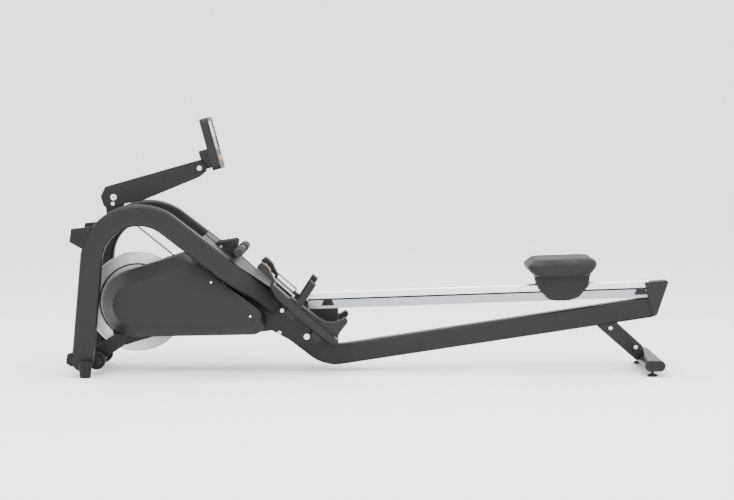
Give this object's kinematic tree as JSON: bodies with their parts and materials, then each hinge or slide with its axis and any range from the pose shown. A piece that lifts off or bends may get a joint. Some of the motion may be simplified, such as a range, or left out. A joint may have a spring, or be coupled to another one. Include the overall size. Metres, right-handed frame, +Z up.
{
  "type": "rowing machine",
  "caption": "Rowing machine with magnetic flywheel under a twin-tube arch, sliding padded seat on an inclined rail, pull handle, foot rests and folding console arm.",
  "frame": {"origin": "on the floor under the middle of the whole machine", "axes": "+X from the flywheel to the rear foot along the rail, +Y across, +Z up"},
  "size_m": [2.2268, 0.5846, 0.948],
  "materials": {
    "frame_black": "satin powder coat",
    "cover_black": "fine moulded texture",
    "trim_black": "moulded",
    "anodised": "clear anodised",
    "flywheel_metal": "turned",
    "steel": "zinc plated",
    "bolt_steel": "bright",
    "rubber_black": "matt",
    "webbing": "woven",
    "seat_skin": "moulded polyurethane",
    "grip_rubber": "ribbed",
    "screen": "gloss",
    "key_orange": "printed",
    "nylon": "moulded"
  },
  "bodies": {
    "frame": {"arch_left": "frame_black", "arch_right": "frame_black", "front_frame": "frame_black", "upper_cross_tube": "frame_black", "core_plate_left": "frame_black", "core_plate_right": "frame_black", "main_beam": "frame_black", "rail": "anodised", "rail_bracket": "frame_black", "rail_stops": "trim_black", "end_housing": "cover_black", "rear_leg": "frame_black", "rear_bar": "frame_black", "rear_bar_caps": "trim_black", "front_feet": "rubber_black", "storage_pads": "rubber_black", "flywheel_bearings": "steel", "return_spring": "steel", "drive_axles": "steel", "drive_belt": "rubber_black", "drive_strap": "webbing", "cover_left": "cover_black", "cover_right": "cover_black", "cover_screws": "bolt_steel", "handle_cradle": "cover_black", "centre_shroud": "cover_black", "console_mount": "frame_black", "footplate_left": "cover_black", "footplate_right": "cover_black", "foot_straps": "webbing", "frame_bolts": "bolt_steel"},
    "seat": {"seat_base": "trim_black", "seat_side_frame": "frame_black", "seat_glides": "nylon", "seat_cushion": "seat_skin"},
    "seat_rollers_front": {"seat_rollers_front": "nylon"},
    "seat_rollers_rear": {"seat_rollers_rear": "nylon"},
    "handle": {"handle_bar": "frame_black", "handle_grips": "grip_rubber", "strap_tail": "webbing"},
    "strap_drum": {"strap_drum": "trim_black"},
    "top_pulley": {"top_pulley": "trim_black"},
    "guide_roller": {"guide_roller": "trim_black"},
    "flywheel": {"flywheel": "flywheel_metal", "flywheel_pulley": "steel"},
    "drive_pulley": {"drive_pulley": "trim_black"},
    "magnet_brake": {"magnet_brake": "steel"},
    "console_arm": {"console_arm": "frame_black", "arm_bolts": "bolt_steel"},
    "console": {"console_back": "cover_black", "console_bezel": "trim_black", "console_screen": "screen", "console_keys": "key_orange"},
    "transport_wheels": {"transport_wheels": "rubber_black"},
    "level_foot_left": {"level_foot_left": "rubber_black"},
    "level_foot_right": {"level_foot_right": "rubber_black"},
    "foot_bed_left": {"foot_bed_left": "cover_black"},
    "foot_bed_right": {"foot_bed_right": "cover_black"},
    "foot_latch_left": {"foot_latch_left": "steel"},
    "foot_latch_right": {"foot_latch_right": "steel"}
  },
  "joints": [
    {"name": "seat_slide", "type": "slide", "parent": "frame", "child": "seat", "axis": [0.9994, 0, 0.0346], "range_m": [-0.74, 0.22]},
    {"name": "seat_roller_front_spin", "type": "hinge", "parent": "seat", "child": "seat_rollers_front", "pos_m": [0.64491, 0, 0.33768], "axis": [0, 1, 0], "continuous": true},
    {"name": "seat_roller_rear_spin", "type": "hinge", "parent": "seat", "child": "seat_rollers_rear", "pos_m": [0.79482, 0, 0.34286], "axis": [0, 1, 0], "continuous": true},
    {"name": "handle_pull", "type": "slide", "parent": "frame", "child": "handle", "axis": [0.9903, 0, 0.1392], "range_m": [0, 1.25], "stiffness_N_per_m": 8, "springref_m": -2.5, "deforming": ["strap_tail"]},
    {"name": "strap_drum_spin", "type": "hinge", "parent": "frame", "child": "strap_drum", "pos_m": [-0.6385, 0, 0.291], "axis": [0, -1, 0], "continuous": true},
    {"name": "top_pulley_spin", "type": "hinge", "parent": "frame", "child": "top_pulley", "pos_m": [-0.88687, 0, 0.587], "axis": [0, 1, 0], "continuous": true},
    {"name": "guide_roller_spin", "type": "hinge", "parent": "frame", "child": "guide_roller", "pos_m": [-0.5555, 0, 0.4675], "axis": [0, -1, 0], "continuous": true},
    {"name": "flywheel_spin", "type": "hinge", "parent": "frame", "child": "flywheel", "pos_m": [-0.8725, 0, 0.258], "axis": [0, -1, 0], "continuous": true},
    {"name": "drive_pulley_spin", "type": "hinge", "parent": "frame", "child": "drive_pulley", "pos_m": [-0.6385, 0, 0.291], "axis": [0, -1, 0], "continuous": true},
    {"name": "brake_swing", "type": "hinge", "parent": "frame", "child": "magnet_brake", "pos_m": [-0.67002, 0, 0.23314], "axis": [0, -1, 0], "range_deg": [0, 8]},
    {"name": "console_fold", "type": "hinge", "parent": "frame", "child": "console_arm", "pos_m": [-0.95686, 0, 0.65], "axis": [0, -1, 0], "range_deg": [0, 75]},
    {"name": "console_tilt", "type": "hinge", "parent": "console_arm", "child": "console", "pos_m": [-0.63687, 0, 0.758], "axis": [0, -1, 0], "range_deg": [-15, 15]},
    {"name": "wheels_spin", "type": "hinge", "parent": "frame", "child": "transport_wheels", "pos_m": [-1.013, 0, 0.0476], "axis": [0, 1, 0], "continuous": true},
    {"name": "level_foot_left_screw", "type": "slide", "parent": "frame", "child": "level_foot_left", "axis": [0, 0, -1], "range_m": [0, 0.01]},
    {"name": "level_foot_right_screw", "type": "slide", "parent": "frame", "child": "level_foot_right", "axis": [0, 0, -1], "range_m": [0, 0.01]},
    {"name": "foot_bed_left_slide", "type": "slide", "parent": "frame", "child": "foot_bed_left", "axis": [0.7547, 0, -0.6561], "range_m": [-0.03, 0.018]},
    {"name": "foot_latch_left_press", "type": "slide", "parent": "frame", "child": "foot_latch_left", "axis": [-0.6561, 0, -0.7547], "range_m": [0, 0.004], "stiffness_N_per_m": 800},
    {"name": "foot_bed_right_slide", "type": "slide", "parent": "frame", "child": "foot_bed_right", "axis": [0.7547, 0, -0.6561], "range_m": [-0.03, 0.018]},
    {"name": "foot_latch_right_press", "type": "slide", "parent": "frame", "child": "foot_latch_right", "axis": [-0.6561, 0, -0.7547], "range_m": [0, 0.004], "stiffness_N_per_m": 800}
  ],
  "couplings": [
    {"joint": "seat_roller_front_spin", "follows": "seat_slide", "rad_per_m": 83.333},
    {"joint": "seat_roller_rear_spin", "follows": "seat_slide", "rad_per_m": 83.333},
    {"joint": "strap_drum_spin", "follows": "handle_pull", "rad_per_m": 21.37},
    {"joint": "top_pulley_spin", "follows": "handle_pull", "rad_per_m": 37.31},
    {"joint": "guide_roller_spin", "follows": "handle_pull", "rad_per_m": 56.18},
    {"joint": "drive_pulley_spin", "follows": "flywheel_spin", "ratio": 0.2}
  ]
}
